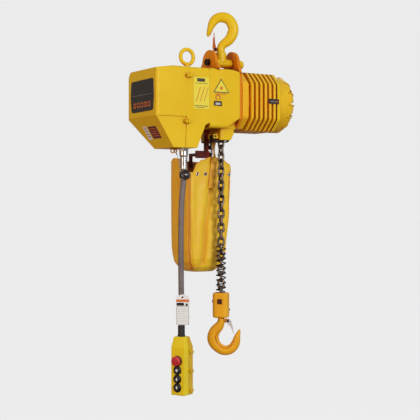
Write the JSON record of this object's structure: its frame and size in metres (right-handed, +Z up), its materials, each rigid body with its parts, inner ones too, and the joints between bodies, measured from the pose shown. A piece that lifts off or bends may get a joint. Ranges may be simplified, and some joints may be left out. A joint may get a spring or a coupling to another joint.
{
  "type": "electric chain hoist",
  "caption": "Electric chain hoist: ribbed motor, gear casing and control box on a latched top hook, with a load chain, spring, hook block, chain bag and push-button pendant.",
  "frame": {"origin": "bearing crown inside the top hook", "axes": "+Z up, +X towards the motor, -Y towards the labelled front; the load chain hangs on the Z axis"},
  "size_m": [0.445, 0.1914, 1.0214],
  "materials": {
    "yellow_paint": "gloss enamel",
    "orange_paint": "gloss enamel on forged steel",
    "bare_steel": "machined",
    "dark_steel": "oiled, blackened",
    "chain_steel": "hardened, oiled",
    "zinc": "bright zinc",
    "cast_alloy": "as cast",
    "iron": "machined faces",
    "winding": "varnished copper",
    "black_plastic": "moulded",
    "grey_plastic": "moulded",
    "pendant_yellow": "moulded",
    "stop_red": "moulded",
    "black_rubber": "satin",
    "cable_grey": "matt sheath",
    "bag_fabric": "coated canvas",
    "tag_card": "laminated card",
    "label_film": null
  },
  "bodies": {
    "top_hook": {"top_hook": "yellow_paint", "top_hook_fittings": "dark_steel"},
    "top_latch": {"top_latch": "yellow_paint"},
    "crosshead": {"hook_crosshead": "yellow_paint"},
    "hoist": {"suspension_bolt": "dark_steel", "suspension_plate_left": "yellow_paint", "suspension_plate_right": "yellow_paint", "gear_casing": "yellow_paint", "bearing_plate": "cast_alloy", "bearings": "bare_steel", "stator": "winding", "motor_casing": "yellow_paint", "end_shield": "yellow_paint", "brake_coil": "winding", "fan_cover": "yellow_paint", "cap_screws": "zinc", "chain_guide": "yellow_paint", "control_housing": "yellow_paint", "control_cover": "yellow_paint", "control_panel": "zinc", "contactors": "grey_plastic", "transformer": "iron", "terminal_block": "grey_plastic", "eye_bolt": "yellow_paint", "label_plates": "label_film", "cable_glands": "zinc", "strain_relief": "black_plastic", "chain_on_sheave": "chain_steel", "stored_chain": "chain_steel", "chain_bag": "bag_fabric", "bag_hanger": "dark_steel", "bag_strap": "bag_fabric"},
    "motor": {"motor_rotor": "bare_steel", "brake_disc": "iron", "fan": "grey_plastic"},
    "layshaft": {"layshaft": "bare_steel"},
    "sheave": {"load_sheave": "iron", "output_gear": "bare_steel"},
    "armature": {"brake_armature": "bare_steel"},
    "lever": {"limit_lever": "dark_steel"},
    "lift": {"load_chain": "chain_steel", "buffer_spring": "dark_steel", "hook_block_front": "orange_paint", "hook_block_back": "orange_paint", "block_fasteners": "dark_steel"},
    "slack": {"slack_chain": "chain_steel"},
    "lower_hook": {"lower_hook": "orange_paint", "lower_hook_fittings": "dark_steel"},
    "lower_latch": {"lower_latch": "zinc"},
    "pendant": {"pendant_cable": "cable_grey", "cable_tag": "tag_card", "pendant_boot": "black_rubber", "pendant_front": "pendant_yellow", "pendant_back": "pendant_yellow", "pendant_screws": "zinc", "switch_block": "grey_plastic"},
    "stop_button": {"stop_button": "stop_red"},
    "button_start": {"button_start": "black_plastic"},
    "button_up": {"button_up": "black_plastic"},
    "button_down": {"button_down": "black_plastic"}
  },
  "joints": [
    {"name": "hook_swivel", "type": "hinge", "parent": "top_hook", "child": "crosshead", "pos_m": [0, 0, -0.09], "axis": [0, 0, 1], "continuous": true},
    {"name": "top_latch_hinge", "type": "hinge", "parent": "top_hook", "child": "top_latch", "pos_m": [-0.01272, 0.00795, -0.0735], "axis": [0.5299, 0.848, 0], "range_deg": [0, 22], "stiffness_Nm_per_rad": 0.06, "springref_deg": -34.38},
    {"name": "yoke_swing", "type": "hinge", "parent": "crosshead", "child": "hoist", "pos_m": [0, 0, -0.1107], "axis": [1, 0, 0], "range_deg": [-15, 15]},
    {"name": "motor_spin", "type": "hinge", "parent": "hoist", "child": "motor", "pos_m": [0, 0.02821, -0.212], "axis": [-1, 0, 0], "range_deg": [-2738, 8214], "deforming": ["chain_on_sheave"]},
    {"name": "layshaft_spin", "type": "hinge", "parent": "hoist", "child": "layshaft", "pos_m": [0, 0.05862, -0.24241], "axis": [-1, 0, 0], "range_deg": [-1333, 445]},
    {"name": "sheave_spin", "type": "hinge", "parent": "hoist", "child": "sheave", "pos_m": [0, 0.02821, -0.212], "axis": [-1, 0, 0], "range_deg": [-72.05, 216.05]},
    {"name": "lift_slide", "type": "slide", "parent": "hoist", "child": "lift", "axis": [0, 0, 1], "range_m": [-0.03802, 0.11402]},
    {"name": "slack_slide", "type": "slide", "parent": "hoist", "child": "slack", "axis": [0, 0, 1], "range_m": [-0.11402, 0.03802]},
    {"name": "armature_slide", "type": "slide", "parent": "hoist", "child": "armature", "axis": [1, 0, 0], "range_m": [0, 0.0005], "stiffness_N_per_m": 4000, "springref_m": -0.003},
    {"name": "lever_hinge", "type": "hinge", "parent": "hoist", "child": "lever", "pos_m": [-0.027, 0, -0.309], "axis": [0, -1, 0], "range_deg": [0, 3], "stiffness_Nm_per_rad": 0.4, "springref_deg": -14.32},
    {"name": "lower_swivel", "type": "hinge", "parent": "lift", "child": "lower_hook", "pos_m": [0, 0, -0.78], "axis": [0, 0, 1], "continuous": true},
    {"name": "lower_latch_hinge", "type": "hinge", "parent": "lower_hook", "child": "lower_latch", "pos_m": [0.01569, -0.0098, -0.8055], "axis": [0.5299, 0.848, 0], "range_deg": [0, 25], "stiffness_Nm_per_rad": 0.06, "springref_deg": -34.38},
    {"name": "pendant_swing", "type": "hinge", "parent": "hoist", "child": "pendant", "pos_m": [-0.117, 0, -0.425], "axis": [1, 0, 0], "range_deg": [-20, 20], "deforming": ["pendant_cable"]},
    {"name": "stop_press", "type": "slide", "parent": "pendant", "child": "stop_button", "axis": [0.9063, 0.4226, 0], "range_m": [0, 0.004]},
    {"name": "button_start_press", "type": "slide", "parent": "pendant", "child": "button_start", "axis": [0.9063, 0.4226, 0], "range_m": [0, 0.004], "stiffness_N_per_m": 400, "springref_m": -0.003},
    {"name": "button_up_press", "type": "slide", "parent": "pendant", "child": "button_up", "axis": [0.9063, 0.4226, 0], "range_m": [0, 0.004], "stiffness_N_per_m": 400, "springref_m": -0.003},
    {"name": "button_down_press", "type": "slide", "parent": "pendant", "child": "button_down", "axis": [0.9063, 0.4226, 0], "range_m": [0, 0.004], "stiffness_N_per_m": 400, "springref_m": -0.003}
  ],
  "couplings": [
    {"joint": "layshaft_spin", "follows": "motor_spin", "ratio": -0.16216},
    {"joint": "sheave_spin", "follows": "motor_spin", "ratio": 0.026297},
    {"joint": "lift_slide", "follows": "motor_spin", "m_per_rad": 0.00079519},
    {"joint": "slack_slide", "follows": "motor_spin", "m_per_rad": -0.00079519}
  ]
}
